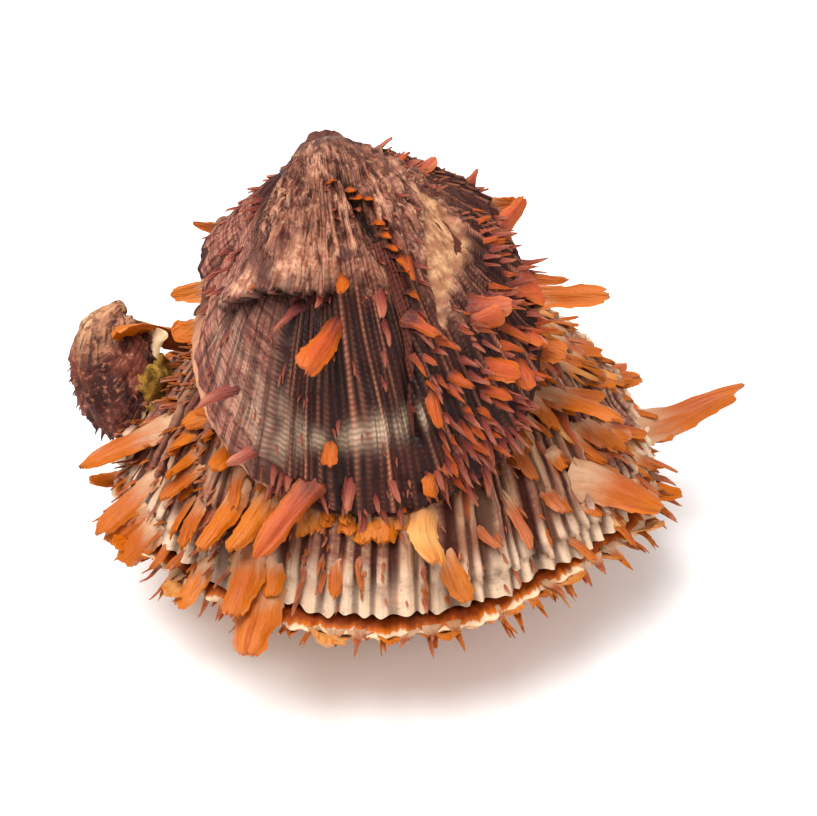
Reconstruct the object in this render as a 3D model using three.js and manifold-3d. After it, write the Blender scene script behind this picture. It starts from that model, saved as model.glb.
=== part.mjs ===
// A dried cluster of spiny oysters. A large pale host oyster lies on its cemented lower valve, a younger dark
// oyster is cemented to the top of it, and a small brown juvenile is cemented to its left edge.
// Millimetres, +Z up, the hinges at the back (+Y) and the open margins at the front (-Y).
import * as THREE from "three";
import { mergeVertices } from "three/addons/utils/BufferGeometryUtils.js";
import Module from "manifold-3d";

const wasm = await Module();
wasm.setup();

// Driving dimensions
const GAP = 0.3; // left between two pieces that are cemented or meet
const FOOTPRINT_CENTRE = [0.56, 3.73]; // middle of the finished cluster, seen from above
const HOST_RIM_HEIGHT = 26; // of the host's margin above the ground
const HOST_GAPE = 2.5; // between the host's two margins
const HOST_HINGE = [-5, 60];
const YOUNG_HINGE = [-17.25, 29.8, 84.8];
const YOUNG_TILT = 34; // degrees that the young oyster's margin plane leans back from level
const YOUNG_TURN = 9; // degrees that it is turned to the right, seen from above
const YOUNG_GAPE = 0.9;
const ROOT = 2.2; // how deep a spine is rooted in its valve

const rad = THREE.MathUtils.degToRad;

// A valve grows as a horn: every growth line is the margin, made smaller about the hinge point by a factor
// called reach (1 at the margin, towards 0 at the beak) and rolled about the hinge line by curl times ln(1/reach).
// Angles run round the margin: 0 is the front, 90 the right side, -90 the left and 180 the hinge.
class Valve {
  constructor({ hinge, growth, outward, ...size }) {
    Object.assign(this, { side: 0, fullness: 1, lobes: [], ribs: 0, ribHeight: 0, ...size });
    this.origin = new THREE.Vector3(...hinge);
    this.front = growth.clone().normalize();
    this.out = outward.clone().addScaledVector(this.front, -outward.dot(this.front)).normalize();
    this.right = new THREE.Vector3().crossVectors(this.front, this.out);
    if (this.right.x < 0) this.right.negate();
  }

  // The margin's outline in the valve's own plane, measured from the hinge point.
  margin(angle, inset = 0, rib = 0) {
    const forward = Math.cos(angle);
    const across = Math.sin(angle);
    let swell = 1 + rib;
    for (const [centre, spread, amount] of this.lobes) {
      const off = Math.atan2(Math.sin(angle - rad(centre)), Math.cos(angle - rad(centre)));
      swell += amount * Math.exp(-((off / rad(spread)) ** 2));
    }
    const power = forward > 0 ? 1 : this.fullness;
    const x = (this.halfWidth * swell - inset) * Math.sign(across) * Math.abs(across) ** power + this.side;
    const radius = forward > 0 ? this.ventral * swell : this.dorsal;
    return [x, this.middle + (radius - inset) * forward];
  }

  place(x, y, z) {
    return this.origin
      .clone()
      .addScaledVector(this.right, x)
      .addScaledVector(this.front, y)
      .addScaledVector(this.out, z);
  }

  // A point of the valve. grow swells the outside, inset and curl give the hollow inside.
  point(angle, reach, { grow = 0, inset = 0, curl = this.curl, rib = 0 } = {}) {
    const [x, y] = this.margin(angle, inset - grow, rib);
    const roll = curl * Math.log(1 / reach);
    const lift = grow * Math.min(1, (1 - reach) * 4);
    return this.place(reach * x, reach * y * Math.cos(roll), reach * y * Math.sin(roll) + lift);
  }

  // Where a spine stands: the point, the growth direction, the direction along the growth line and the normal.
  frameAt(angle, reach) {
    const step = 1e-3;
    const growth = this.point(angle, reach + step).sub(this.point(angle, reach - step)).normalize();
    const along = this.point(angle + step, reach).sub(this.point(angle - step, reach)).normalize();
    const normal = new THREE.Vector3().crossVectors(along, growth).normalize();
    const point = this.point(angle, reach);
    const [x, y] = [this.side, this.middle];
    const roll = this.curl * Math.log(1 / reach);
    const inside = this.place(reach * x, reach * y * Math.cos(roll), reach * y * Math.sin(roll));
    if (point.clone().sub(inside).dot(normal) < 0) normal.negate();
    const sideways = new THREE.Vector3().crossVectors(normal, growth).normalize();
    if (sideways.dot(along) < 0) sideways.negate();
    return { point, growth, sideways, normal };
  }
}

// A closed surface over rings of points, each ring the same length, with a flat cap at both ends.
function ringsToGeometry(rings) {
  const count = rings[0].length;
  const points = rings.flat();
  const faces = [];
  for (let r = 0; r + 1 < rings.length; r++)
    for (let i = 0; i < count; i++) {
      const next = (i + 1) % count;
      const [a, b, c, d] = [r * count + i, r * count + next, (r + 1) * count + next, (r + 1) * count + i];
      faces.push(a, b, c, a, c, d);
    }
  for (const [ring, flip] of [[0, true], [rings.length - 1, false]])
    for (let i = 1; i + 1 < count; i++) {
      const [a, b, c] = [ring * count, ring * count + i, ring * count + i + 1];
      faces.push(...(flip ? [c, b, a] : [a, b, c]));
    }
  const geometry = new THREE.BufferGeometry().setFromPoints(points);
  geometry.setIndex(faces);
  return geometry;
}

function solidFrom(geometry) {
  const merged = mergeVertices(geometry, 1e-4);
  const make = (triVerts) =>
    new wasm.Manifold(
      new wasm.Mesh({ numProp: 3, vertProperties: new Float32Array(merged.attributes.position.array), triVerts }),
    );
  const triVerts = new Uint32Array(merged.index.array);
  const solid = make(triVerts);
  if (solid.volume() > 0) return solid;
  for (let i = 0; i < triVerts.length; i += 3) [triVerts[i + 1], triVerts[i + 2]] = [triVerts[i + 2], triVerts[i + 1]];
  return make(triVerts);
}

// The largest body of a solid, without crumbs that a cut has left.
function largest(solid) {
  return solid.decompose().reduce((a, b) => (a.volume() > b.volume() ? a : b));
}

const BEAK_REACH = 0.1;
const OUTER_REACHES = [BEAK_REACH, 0.23, 0.38, 0.54, 0.7, 0.86, 1];
const HOLLOW_REACHES = [1, 0.75, 0.5, 0.3];

function outerRings(valve, columns, grow = 0) {
  return OUTER_REACHES.map((reach) =>
    Array.from({ length: columns }, (_, i) => {
      const angle = (i / columns) * 2 * Math.PI;
      const rib = (valve.ribHeight / valve.halfWidth) * Math.cos(valve.ribs * angle);
      return valve.point(angle, reach, { grow, rib: grow ? valve.ribHeight / valve.halfWidth : rib });
    }),
  );
}

// The valve's outside with its mouth closed flat, swollen by grow: what a cemented neighbour is cut by.
function filledValve(valve, columns, grow) {
  return solidFrom(ringsToGeometry(outerRings(valve, columns, grow)));
}

function hollowValve(valve, columns) {
  const hollow = HOLLOW_REACHES.map((reach) =>
    Array.from({ length: columns }, (_, i) =>
      valve.point((i / columns) * 2 * Math.PI, reach, { inset: valve.lip, curl: valve.hollowCurl }),
    ),
  );
  return solidFrom(ringsToGeometry([...outerRings(valve, columns), ...hollow]));
}

// A flat, tongue-shaped spine. yaw turns it from the growth direction, lift raises it from the surface, and bend
// is the height of its arch as a share of its length: above 0 its end curls down, below 0 it curls up.
function spineSolid(valve, [angle, reach, length, width, yaw, lift, bend = 0], grow = 0) {
  const { point, growth, sideways, normal } = valve.frameAt(rad(angle), Math.min(reach, 0.998));
  const flat = growth.clone().multiplyScalar(Math.cos(rad(yaw))).addScaledVector(sideways, Math.sin(rad(yaw)));
  const chord = flat.clone().multiplyScalar(Math.cos(rad(lift))).addScaledVector(normal, Math.sin(rad(lift)));
  const top = normal.clone().addScaledVector(chord, -normal.dot(chord)).normalize();
  const wide = new THREE.Vector3().crossVectors(chord, top);
  const big = length > 10.5;
  const outline = big ? [[0.25, 1], [0.65, 0.88], [1, 0.45]] : [[0.45, 1], [1, 0.45]];
  const rings = [[-ROOT / length, 0.75], ...outline].map(([along, share]) => {
    const arch = bend * length * 4 * along * (1 - along);
    const centre = point.clone().addScaledVector(chord, length * along + (along === 1 ? grow : 0));
    centre.addScaledVector(top, along > 0 ? arch : 0);
    const half = (width * share) / 2 + grow;
    const thick = (big ? 0.13 * width + 0.35 : 0.22 * width + 0.3) * (along === 1 ? 0.7 : 1) + grow;
    const section = big
      ? [[1, -0.3], [0, 1], [-1, -0.3], [0, -0.7]]
      : [[1, -0.5], [0, 1.1], [-1, -0.5]];
    return section.map(([u, v]) =>
      centre.clone().addScaledVector(wide, u * half).addScaledVector(top, v * thick),
    );
  });
  return solidFrom(ringsToGeometry(rings));
}

function joined(solid, valve, spines, grow = 0) {
  return spines.reduce((whole, spine) => whole.add(spineSolid(valve, spine, grow)), solid);
}

const level = new THREE.Vector3(0, -1, 0);
const up = new THREE.Vector3(0, 0, 1);
const down = new THREE.Vector3(0, 0, -1);
const youngGrowth = new THREE.Vector3(
  Math.sin(rad(YOUNG_TURN)) * Math.cos(rad(YOUNG_TILT)),
  -Math.cos(rad(YOUNG_TURN)) * Math.cos(rad(YOUNG_TILT)),
  -Math.sin(rad(YOUNG_TILT)),
);
const youngOutward = new THREE.Vector3(0, -0.56, 0.83);

const hostUpper = new Valve({
  hinge: [...HOST_HINGE, HOST_RIM_HEIGHT],
  growth: level,
  outward: up,
  halfWidth: 57.5,
  ventral: 48,
  middle: 60,
  dorsal: 57,
  curl: 0.97,
  hollowCurl: 0.84,
  lip: 2.2,
  fullness: 0.75,
  lobes: [[40, 20, -0.075], [-100, 25, 0.02], [-154, 13, 0.24], [154, 13, 0.24]],
  ribs: 24,
  ribHeight: 0.8,
});

const hostLower = new Valve({
  hinge: [...HOST_HINGE, HOST_RIM_HEIGHT - HOST_GAPE],
  growth: level,
  outward: down,
  halfWidth: 59.5,
  ventral: 51.5,
  middle: 60,
  dorsal: 57,
  curl: 0.85,
  hollowCurl: 0.5,
  lip: 2.6,
  fullness: 0.75,
  lobes: [[40, 20, -0.075], [-154, 13, 0.26], [154, 13, 0.26]],
  ribs: 20,
  ribHeight: 0.8,
});

// The young oyster's margin has an ear at the back left and is drawn in beside it.
const YOUNG_LOBES = [[-132, 15, 0.1], [-110, 10, -0.05], [-165, 16, -0.22], [140, 17, 0.08]];

const youngUpper = new Valve({
  hinge: YOUNG_HINGE,
  growth: youngGrowth,
  outward: youngOutward,
  halfWidth: 35,
  ventral: 36,
  middle: 42.1,
  dorsal: 41,
  curl: 0.76,
  hollowCurl: 0.6,
  lip: 1.8,
  side: 3.3,
  fullness: 0.9,
  lobes: YOUNG_LOBES,
  ribs: 20,
  ribHeight: 0.5,
});

const youngLower = new Valve({
  hinge: new THREE.Vector3(...YOUNG_HINGE).addScaledVector(youngUpper.out, -YOUNG_GAPE).toArray(),
  growth: youngGrowth,
  outward: youngOutward.clone().negate(),
  halfWidth: 36,
  ventral: 36.8,
  middle: 42.1,
  dorsal: 41,
  curl: 1.25,
  hollowCurl: 0.25,
  lip: 2.2,
  side: 3.3,
  fullness: 0.9,
  lobes: YOUNG_LOBES,
});

// Each spine is [angle, reach, length, width, yaw, lift, bend]; angles in degrees and sizes in millimetres.
const HOST_UPPER_SPINES = [
  // left side, from the back to the front
  [-103, 0.71, 29, 5.5, 36, 33, 0.08],
  [-72, 0.83, 23, 7, -28, 20, 0.05],
  [-65, 0.92, 18, 6, -14, 15, 0.04],
  [-63, 0.97, 12.3, 5, -30, 10],
  [-59, 0.99, 10, 6.5, -20, 8],
  [-52, 0.98, 8, 3.2, 0, 20],
  [-45, 0.97, 7, 4, -24, 20],
  [-41, 0.99, 10.4, 5, -3, 20],
  [-52, 0.76, 9, 6, -48, 18],
  [-47, 0.77, 8.7, 4.4, -90, 22],
  [-42, 0.79, 11.6, 5, 4, 30],
  [-36, 0.85, 19.8, 5.8, -4, 25, 0.05],
  [-29, 0.85, 17.5, 5.4, -9, 25, 0.05],
  // front
  [-30, 0.94, 18, 7, 8, 30, 0.06],
  [-25, 0.98, 18, 8.5, 7, 32, 0.05],
  [-24, 0.95, 8.2, 5.2, 13, 25],
  [-10, 0.93, 8.7, 3.8, 4, 20],
  [-5, 0.91, 9.7, 2.2, 6, 15],
  [0, 0.91, 8, 1.8, -1, 15],
  [4, 0.93, 4.6, 1.8, -4, 15],
  [9, 0.84, 21, 5.2, 0, 40, 0.07],
  [14, 0.93, 11.6, 5.6, 12, 25],
  [17, 0.91, 6.3, 2.2, 7, 20],
  [20, 0.89, 9.6, 2.8, 34, 25, 0.06],
  [26, 0.9, 6, 2.2, 10, 20],
  [31, 0.87, 14, 3, 6, 20, 0.08],
  // right side, from the front to the back
  [38, 0.8, 10.5, 3.6, 11, 15],
  [44, 0.88, 9, 4.2, 5, 30],
  [56, 0.89, 18.8, 9.5, 43, 20, 0.03],
  [66, 0.88, 5.6, 3, 62, 25],
  [56, 0.73, 21.5, 5.4, 18, 35, 0.08],
  [63, 0.75, 9.9, 4, 57, 30],
  [89, 0.69, 11, 6.2, 70, 20],
  [78, 0.86, 9, 4, 40, 30],
  [95, 0.93, 29, 9, 59, 48, -0.08],
  [114, 0.94, 8, 4, 80, 30],
];

const HOST_LOWER_SPINES = [
  [-62, 0.97, 9, 5, -10, 10],
  [-44, 0.98, 9, 6, 0, 6],
  [-18, 0.97, 6, 3, 0, 10],
  [-11, 0.98, 7, 8, 0, 0],
  [-3, 0.98, 5.5, 2.4, 0, 0],
  [1, 0.98, 6, 5, 0, 4],
  [8, 0.98, 6, 2.4, 2, 0],
  [12, 0.98, 7, 6, 4, 4],
  [20, 0.98, 5, 3, 4, 0],
  [27, 0.98, 6, 5.5, 6, 0],
  [35, 0.98, 6.5, 3.6, 8, 0],
  [43, 0.98, 7, 5.5, 10, 0],
  [55, 0.98, 6, 3, 10, 10],
  [68, 0.98, 7, 7, 16, 6],
  [80, 0.97, 9, 5, 10, 14],
  [-85, 0.96, 10, 5, -10, 12],
  [-108, 0.95, 12, 5, -10, 14],
  [-132, 0.92, 9, 4.5, -10, 20],
  [100, 0.95, 10, 5, 10, 14],
  [122, 0.93, 11, 5, 10, 18],
];

const YOUNG_UPPER_SPINES = [
  // the front half, left to right
  [-63, 0.86, 8.7, 3.4, -39, 35],
  [-43, 0.91, 10, 3.2, -53, 30],
  [-22, 0.93, 22, 5.2, -39, 35, 0.05],
  [-19, 0.84, 6.6, 4.2, 5, 30],
  [-11, 0.6, 15.8, 7, -35, 40, 0.06],
  [-50, 0.54, 7, 3, -47, 30],
  [-35, 0.59, 7.4, 2.1, -32, 30, 0.08],
  [-20, 0.54, 4.5, 2, -13, 30],
  [-7, 0.5, 9, 3.6, 3, 50],
  [15, 0.54, 8.8, 2.6, -15, 30],
  [12, 0.6, 7.4, 2.2, -3, 25],
  [38, 0.51, 10, 4.4, -42, 45],
  [28, 0.63, 7, 3.6, 26, 30],
  [30, 0.66, 5, 2.2, 9, 22],
  [26, 0.78, 8.8, 3.6, -14, 22],
  [17, 0.95, 4.8, 4.6, -37, 30],
  [1, 0.9, 8.4, 2.7, 12, 30],
  [-11, 0.9, 9.5, 2.7, -11, 20],
  [-4, 0.95, 5.2, 2.3, 4, 20],
  // the crowded right side
  [44, 0.8, 5.8, 2.8, 26, 30],
  [37, 0.78, 5.8, 3.4, 24, 35],
  [48, 0.86, 6.5, 3.8, 28, 30],
  [52, 0.82, 8.6, 5, 34, 30],
  [62, 0.82, 7.2, 2.9, 32, 30],
  [72, 0.83, 7.6, 3.3, 5, 30],
  [61, 0.72, 9.2, 5.5, 59, 40],
  [57, 0.74, 7.5, 5.2, 84, 40],
  [68, 0.93, 7, 5, -38, 30],
  [82, 0.95, 5.8, 5, -28, 40],
  [50, 0.71, 4, 3, 19, 30],
  // the back
  [118, 0.94, 9.8, 4.4, 74, 35, -0.08],
  [138, 0.94, 5, 3.2, 62, 45],
  [135, 0.59, 5, 4.6, 31, 40],
  [127, 0.4, 4.6, 3.2, 49, 40],
  [101, 0.97, 8.5, 7, -7, 14],
  [-150, 0.6, 6, 3, -20, 40],
  [165, 0.6, 7, 3.4, 10, 40],
];

const YOUNG_LOWER_SPINES = [
  [-99, 0.97, 9, 5, -10, 40],
  [-112, 0.97, 8, 4.5, -20, 44],
  [96, 0.97, 20, 5, 18, 15, -0.06],
  [103, 0.97, 10, 2.6, 10, 30],
  [80, 0.96, 8, 5, 10, 30],
  [128, 0.95, 8, 4.5, 10, 40],
  [-135, 0.95, 6, 3.5, -10, 40],
];

// The juvenile stands on edge at the host's left margin, its deeper side turned to the left and up. A crust of
// dried sponge fills the corner between it and the host.
const JUVENILE_HINGE = [-63.5, 25.5, 45.5];
const juvenileGrowth = new THREE.Vector3(-0.1, -0.64, -0.76);
const juvenileOutward = new THREE.Vector3(-0.66, -0.6, 0.46);
const juvenileSize = { halfWidth: 12.3, ventral: 13.5, middle: 13.5, dorsal: 12.5, fullness: 0.8 };
const SPONGE_CENTRE = [-57, 14, 36.5];
const SPONGE_SIZE = [6.5, 7, 7.5];

const juvenileUpper = new Valve({
  hinge: JUVENILE_HINGE,
  growth: juvenileGrowth,
  outward: juvenileOutward,
  curl: 1.25,
  lobes: [[-70, 24, 0.08], [75, 22, -0.06]],
  ribs: 11,
  ribHeight: 0.5,
  ...juvenileSize,
});

const juvenileLower = new Valve({
  hinge: new THREE.Vector3(...JUVENILE_HINGE).addScaledVector(juvenileUpper.out, -GAP).toArray(),
  growth: juvenileGrowth,
  outward: juvenileOutward.clone().negate(),
  curl: 0.35,
  lobes: [[152, 22, 1]],
  ...juvenileSize,
});

// An uneven lump of crust.
function lump(centre, size) {
  const ball = new THREE.SphereGeometry(1, 9, 7);
  ball.deleteAttribute("normal");
  ball.deleteAttribute("uv");
  const spots = ball.getAttribute("position");
  for (let i = 0; i < spots.count; i++) {
    const p = new THREE.Vector3().fromBufferAttribute(spots, i);
    const swell = 1 + 0.14 * Math.sin(4 * p.x + 2.6 * p.y + 1) * Math.cos(3.4 * p.z - 1.7 * p.x);
    const [x, y, z] = centre.map((c, axis) => c + size[axis] * swell * p.getComponent(axis));
    spots.setXYZ(i, x, y, z);
  }
  return solidFrom(ball);
}

function groundSlab() {
  const slab = new THREE.BoxGeometry(300, 300, 60);
  slab.translate(0, 0, -30);
  slab.deleteAttribute("normal");
  slab.deleteAttribute("uv");
  return solidFrom(slab);
}

const HOST_COLUMNS = 48;
const HOST_LOWER_COLUMNS = 40;
const YOUNG_COLUMNS = 40;
const YOUNG_LOWER_COLUMNS = 36;
const JUVENILE_COLUMNS = 22;

const hostFilled = filledValve(hostUpper, HOST_COLUMNS, GAP);
const hostLowerFilled = filledValve(hostLower, HOST_LOWER_COLUMNS, GAP);
const youngFilled = filledValve(youngUpper, YOUNG_COLUMNS, GAP);
const youngLowerFilled = filledValve(youngLower, YOUNG_LOWER_COLUMNS, GAP);

const youngUpperSolid = largest(
  joined(hollowValve(youngUpper, YOUNG_COLUMNS), youngUpper, YOUNG_UPPER_SPINES)
    .subtract(youngLowerFilled)
    .subtract(hostFilled),
);
const youngUpperGrown = joined(youngFilled, youngUpper, YOUNG_UPPER_SPINES, GAP);

const youngLowerSolid = largest(
  joined(hollowValve(youngLower, YOUNG_LOWER_COLUMNS), youngLower, YOUNG_LOWER_SPINES)
    .subtract(hostFilled)
    .subtract(youngUpperGrown),
);
const youngLowerGrown = joined(youngLowerFilled, youngLower, YOUNG_LOWER_SPINES, GAP);

const hostSpines = HOST_UPPER_SPINES.map((spine) => spineSolid(hostUpper, spine))
  .reduce((whole, spine) => whole.add(spine))
  .subtract(youngUpperGrown)
  .subtract(youngLowerGrown);
const hostUpperSolid = largest(hollowValve(hostUpper, HOST_COLUMNS).add(hostSpines).subtract(hostLowerFilled));
const hostUpperGrown = joined(hostFilled, hostUpper, HOST_UPPER_SPINES, GAP);

const hostLowerSolid = largest(
  joined(hollowValve(hostLower, HOST_LOWER_COLUMNS), hostLower, HOST_LOWER_SPINES)
    .subtract(hostUpperGrown)
    .subtract(groundSlab()),
);
const hostLowerGrown = joined(hostLowerFilled, hostLower, HOST_LOWER_SPINES, GAP);

const hostGrown = hostUpperGrown.add(hostLowerGrown);
const youngGrown = youngLowerGrown.add(youngUpperGrown);
const juvenileUpperSolid = largest(
  filledValve(juvenileUpper, JUVENILE_COLUMNS, 0).subtract(hostGrown).subtract(youngGrown),
);
const juvenileUpperGrown = filledValve(juvenileUpper, JUVENILE_COLUMNS, GAP);
const juvenileLowerSolid = largest(
  filledValve(juvenileLower, JUVENILE_COLUMNS, 0).subtract(hostGrown).subtract(youngGrown),
);
const juvenileLowerGrown = filledValve(juvenileLower, JUVENILE_COLUMNS, GAP);
const spongeSolid = largest(
  lump(SPONGE_CENTRE, SPONGE_SIZE)
    .subtract(hostGrown)
    .subtract(youngGrown)
    .subtract(juvenileUpperGrown)
    .subtract(juvenileLowerGrown),
);

function asMesh(name, solid, colour, roughness) {
  const { vertProperties, triVerts, numProp, numVert } = solid.getMesh();
  const spots = new Float32Array(numVert * 3);
  for (let i = 0; i < numVert; i++) spots.set(vertProperties.subarray(i * numProp, i * numProp + 3), i * 3);
  const geometry = new THREE.BufferGeometry();
  geometry.setAttribute("position", new THREE.BufferAttribute(spots, 3));
  geometry.setIndex(new THREE.BufferAttribute(new Uint32Array(triVerts), 1));
  geometry.computeVertexNormals();
  const mesh = new THREE.Mesh(geometry, new THREE.MeshStandardMaterial({ color: colour, roughness, metalness: 0 }));
  mesh.name = name;
  return mesh;
}

const cluster = new THREE.Group();
cluster.add(
  asMesh("host_lower_valve", hostLowerSolid, 0xd9c3a6, 0.7),
  asMesh("host_upper_valve", hostUpperSolid, 0xcdb3a0, 0.7),
  asMesh("young_lower_valve", youngLowerSolid, 0x8d5f5a, 0.75),
  asMesh("young_upper_valve", youngUpperSolid, 0x6a3f40, 0.7),
  asMesh("juvenile_upper_valve", juvenileUpperSolid, 0x6f4a3c, 0.85),
  asMesh("juvenile_lower_valve", juvenileLowerSolid, 0xd8c8ae, 0.8),
  asMesh("sponge_crust", spongeSolid, 0xb79a4a, 0.95),
);
cluster.position.set(-FOOTPRINT_CENTRE[0], -FOOTPRINT_CENTRE[1], 0);

export default cluster;
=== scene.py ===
"""The looks of a dried cluster of spiny oysters: host, young oyster, small juvenile and a crust of sponge.

Lengths are millimetres in the frame that the sizes were chosen in; metres() turns them into the row frame.
"""

import math

import bpy
import numpy as np
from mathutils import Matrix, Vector


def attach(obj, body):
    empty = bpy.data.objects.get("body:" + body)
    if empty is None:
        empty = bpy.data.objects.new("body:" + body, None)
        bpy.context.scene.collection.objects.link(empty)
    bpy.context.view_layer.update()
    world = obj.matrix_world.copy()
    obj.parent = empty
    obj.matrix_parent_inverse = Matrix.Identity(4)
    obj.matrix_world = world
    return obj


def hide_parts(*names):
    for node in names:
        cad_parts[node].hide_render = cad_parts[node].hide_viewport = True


MM = 0.001
FOOTPRINT_CENTRE = np.array([0.56, 3.73, 0.0])
HOST_RIM_HEIGHT = 26.0
HOST_GAPE = 2.5
YOUNG_HINGE = (-17.25, 29.8, 84.8)
YOUNG_LOBES = ((-132, 15, 0.1), (-110, 10, -0.05), (-165, 16, -0.22), (140, 17, 0.08))
YOUNG_TILT = 34.0
YOUNG_TURN = 9.0
YOUNG_GAPE = 0.9
JUVENILE_HINGE = (-63.5, 25.5, 45.5)
JUVENILE_GAPE = 0.3
JUVENILE_GROWTH = (-0.1, -0.64, -0.76)
JUVENILE_OUTWARD = np.array([-0.66, -0.6, 0.46])

SEED = 7

# Least heights above the floor in mm, so that nothing of the part sinks into it
OUTSIDE_LEAST = 0.03
INSIDE_LEAST = 0.6
BLADE_TOP_LEAST = 0.5
BLADE_UNDERSIDE_LEAST = 0.1
SMALL_SPINE_ROOT_LEAST = 5.0

# How far in the inside of a valve is drawn, as a share of reach, and in how many rows
INSIDE_DEPTH = 0.55
INSIDE_ROWS = 26

# Length in mm from beak to margin, for marks and grain that are laid out flat
HOST_UPPER_FLAT = 55
HOST_LOWER_FLAT = 57
YOUNG_FLAT = 40
JUVENILE_FLAT = 14


def metres(points):
    return (np.asarray(points, float) - FOOTPRINT_CENTRE) * MM


def unit(vectors):
    vectors = np.asarray(vectors, float)
    return vectors / np.maximum(np.linalg.norm(vectors, axis=-1, keepdims=True), 1e-12)


def smooth(low, high, value):
    """0 at low and 1 at high, with soft ends; low may be the larger one."""
    t = np.clip((np.asarray(value, float) - low) / (high - low), 0, 1)
    return t * t * (3 - 2 * t)


class Noise:
    """Smooth seeded noise over two or three coordinates, about -1 to 1."""

    SIZE = 8192
    PRIMES = (73856093, 19349663, 83492791)

    def __init__(self, seed):
        self.table = np.random.default_rng(seed).uniform(-1, 1, self.SIZE)

    def cell(self, x, y, z):
        a, b, c = self.PRIMES
        return self.table[(x * a ^ y * b ^ z * c) & (self.SIZE - 1)]

    def __call__(self, x, y, z=0.0):
        x, y, z = np.broadcast_arrays(*(np.asarray(c, float) for c in (x, y, z)))
        x0, y0, z0 = (np.floor(c).astype(np.int64) for c in (x, y, z))
        u, v, w = (c - f for c, f in ((x, x0), (y, y0), (z, z0)))
        u, v, w = (t * t * (3 - 2 * t) for t in (u, v, w))
        total = 0
        for i, a in ((0, 1 - u), (1, u)):
            for j, b in ((0, 1 - v), (1, v)):
                for k, c in ((0, 1 - w), (1, w)):
                    total = total + a * b * c * self.cell(x0 + i, y0 + j, z0 + k)
        return total

    def rough(self, x, y, z=0.0, octaves=3):
        return sum(self(x * 2**o, y * 2**o, np.asarray(z) * 2**o + 9 * o) / 2**o for o in range(octaves))


noise = Noise(SEED)


class Valve:
    """A valve grows as a horn: its growth lines are the margin, made smaller and rolled about the hinge.

    half_width, ventral, middle and dorsal are the margin's sizes in mm. curl is how fast it rolls, side how
    far it leans, fullness how square its back is. lobes are swellings: angle, spread in degrees, amount.
    """

    def __init__(
        self, hinge, growth, outward, half_width, ventral, middle, dorsal, curl,
        side=0.0, fullness=1.0, lobes=(),
    ):
        self.origin = np.array(hinge, float)
        self.front = unit(growth)
        self.out = unit(np.array(outward, float) - np.dot(outward, self.front) * self.front)
        self.right = np.cross(self.front, self.out)
        if self.right[0] < 0:
            self.right = -self.right
        self.half_width, self.ventral, self.middle, self.dorsal = half_width, ventral, middle, dorsal
        self.curl, self.side, self.fullness, self.lobes = curl, side, fullness, lobes

    def margin(self, angle):
        forward, across = np.cos(angle), np.sin(angle)
        swell = np.ones_like(angle)
        for centre, spread, amount in self.lobes:
            off = np.angle(np.exp(1j * (angle - math.radians(centre))))
            swell = swell + amount * np.exp(-((off / math.radians(spread)) ** 2))
        power = np.where(forward > 0, 1.0, self.fullness)
        x = self.half_width * swell * np.sign(across) * np.abs(across) ** power + self.side
        radius = np.where(forward > 0, self.ventral * swell, self.dorsal)
        return x, self.middle + radius * forward

    def point(self, angle, reach, curl=None):
        angle, reach = np.broadcast_arrays(np.asarray(angle, float), np.asarray(reach, float))
        x, y = self.margin(angle)
        roll = (self.curl if curl is None else curl) * np.log(1 / reach)
        return (
            self.origin
            + (reach * x)[..., None] * self.right
            + (reach * y * np.cos(roll))[..., None] * self.front
            + (reach * y * np.sin(roll))[..., None] * self.out
        )

    def frame_at(self, angle, reach):
        """The point, the growth direction, the direction along the growth line and the outward normal."""
        step = 1e-3
        growth = unit(self.point(angle, reach + step) - self.point(angle, reach - step))
        along = unit(self.point(angle + step, reach) - self.point(angle - step, reach))
        normal = unit(np.cross(along, growth))
        point = self.point(angle, reach)
        inside = self.point(np.linspace(-np.pi, np.pi, 60), reach).mean(0)
        if np.dot(point - inside, normal) < 0:
            normal = -normal
        sideways = unit(np.cross(normal, growth))
        if np.dot(sideways, along) < 0:
            sideways = -sideways
        return point, growth, sideways, normal


class Piece:
    """Grids of points with named values, gathered into one mesh."""

    VALUES = (
        "fan", "grow", "crest", "wear", "pale", "dark", "cream", "scar", "flank",
        "along", "across", "tint", "inside",
    )

    def __init__(self, name):
        self.name = name
        self.points, self.faces, self.count = [], [], 0
        self.values = {key: [] for key in self.VALUES}

    def grid(self, points, flip=False, **values):
        rows, columns = points.shape[:2]
        index = np.arange(rows * columns).reshape(rows, columns) + self.count
        quads = np.stack([index[:-1, :-1], index[:-1, 1:], index[1:, 1:], index[1:, :-1]], -1).reshape(-1, 4)
        self.faces.append(quads[:, ::-1] if flip else quads)
        self.points.append(points.reshape(-1, 3))
        self.count += rows * columns
        for key in self.VALUES:
            value = np.broadcast_to(np.asarray(values.get(key, 0.0), float), (rows, columns))
            self.values[key].append(value.reshape(-1))

    def build(self, material, node_slot, replaces=()):
        points = metres(np.concatenate(self.points))
        faces = np.concatenate(self.faces)
        mesh = bpy.data.meshes.new(self.name)
        mesh.vertices.add(len(points))
        mesh.vertices.foreach_set("co", points.astype(np.float32).ravel())
        mesh.loops.add(faces.size)
        mesh.loops.foreach_set("vertex_index", faces.astype(np.int32).ravel())
        mesh.polygons.add(len(faces))
        mesh.polygons.foreach_set("loop_start", np.arange(0, faces.size, 4, dtype=np.int32))
        for key, parts in self.values.items():
            values = np.concatenate(parts)
            if np.any(values):
                attribute = mesh.attributes.new(key, "FLOAT", "POINT")
                attribute.data.foreach_set("value", values.astype(np.float32))
        mesh.update(calc_edges=True)
        mesh.validate()
        mesh.shade_smooth()
        mesh.materials.append(material)
        made = bpy.data.objects.new(self.name, mesh)
        bpy.context.scene.collection.objects.link(made)
        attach(made, "root")
        if replaces:
            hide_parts(*replaces)
        return made


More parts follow.
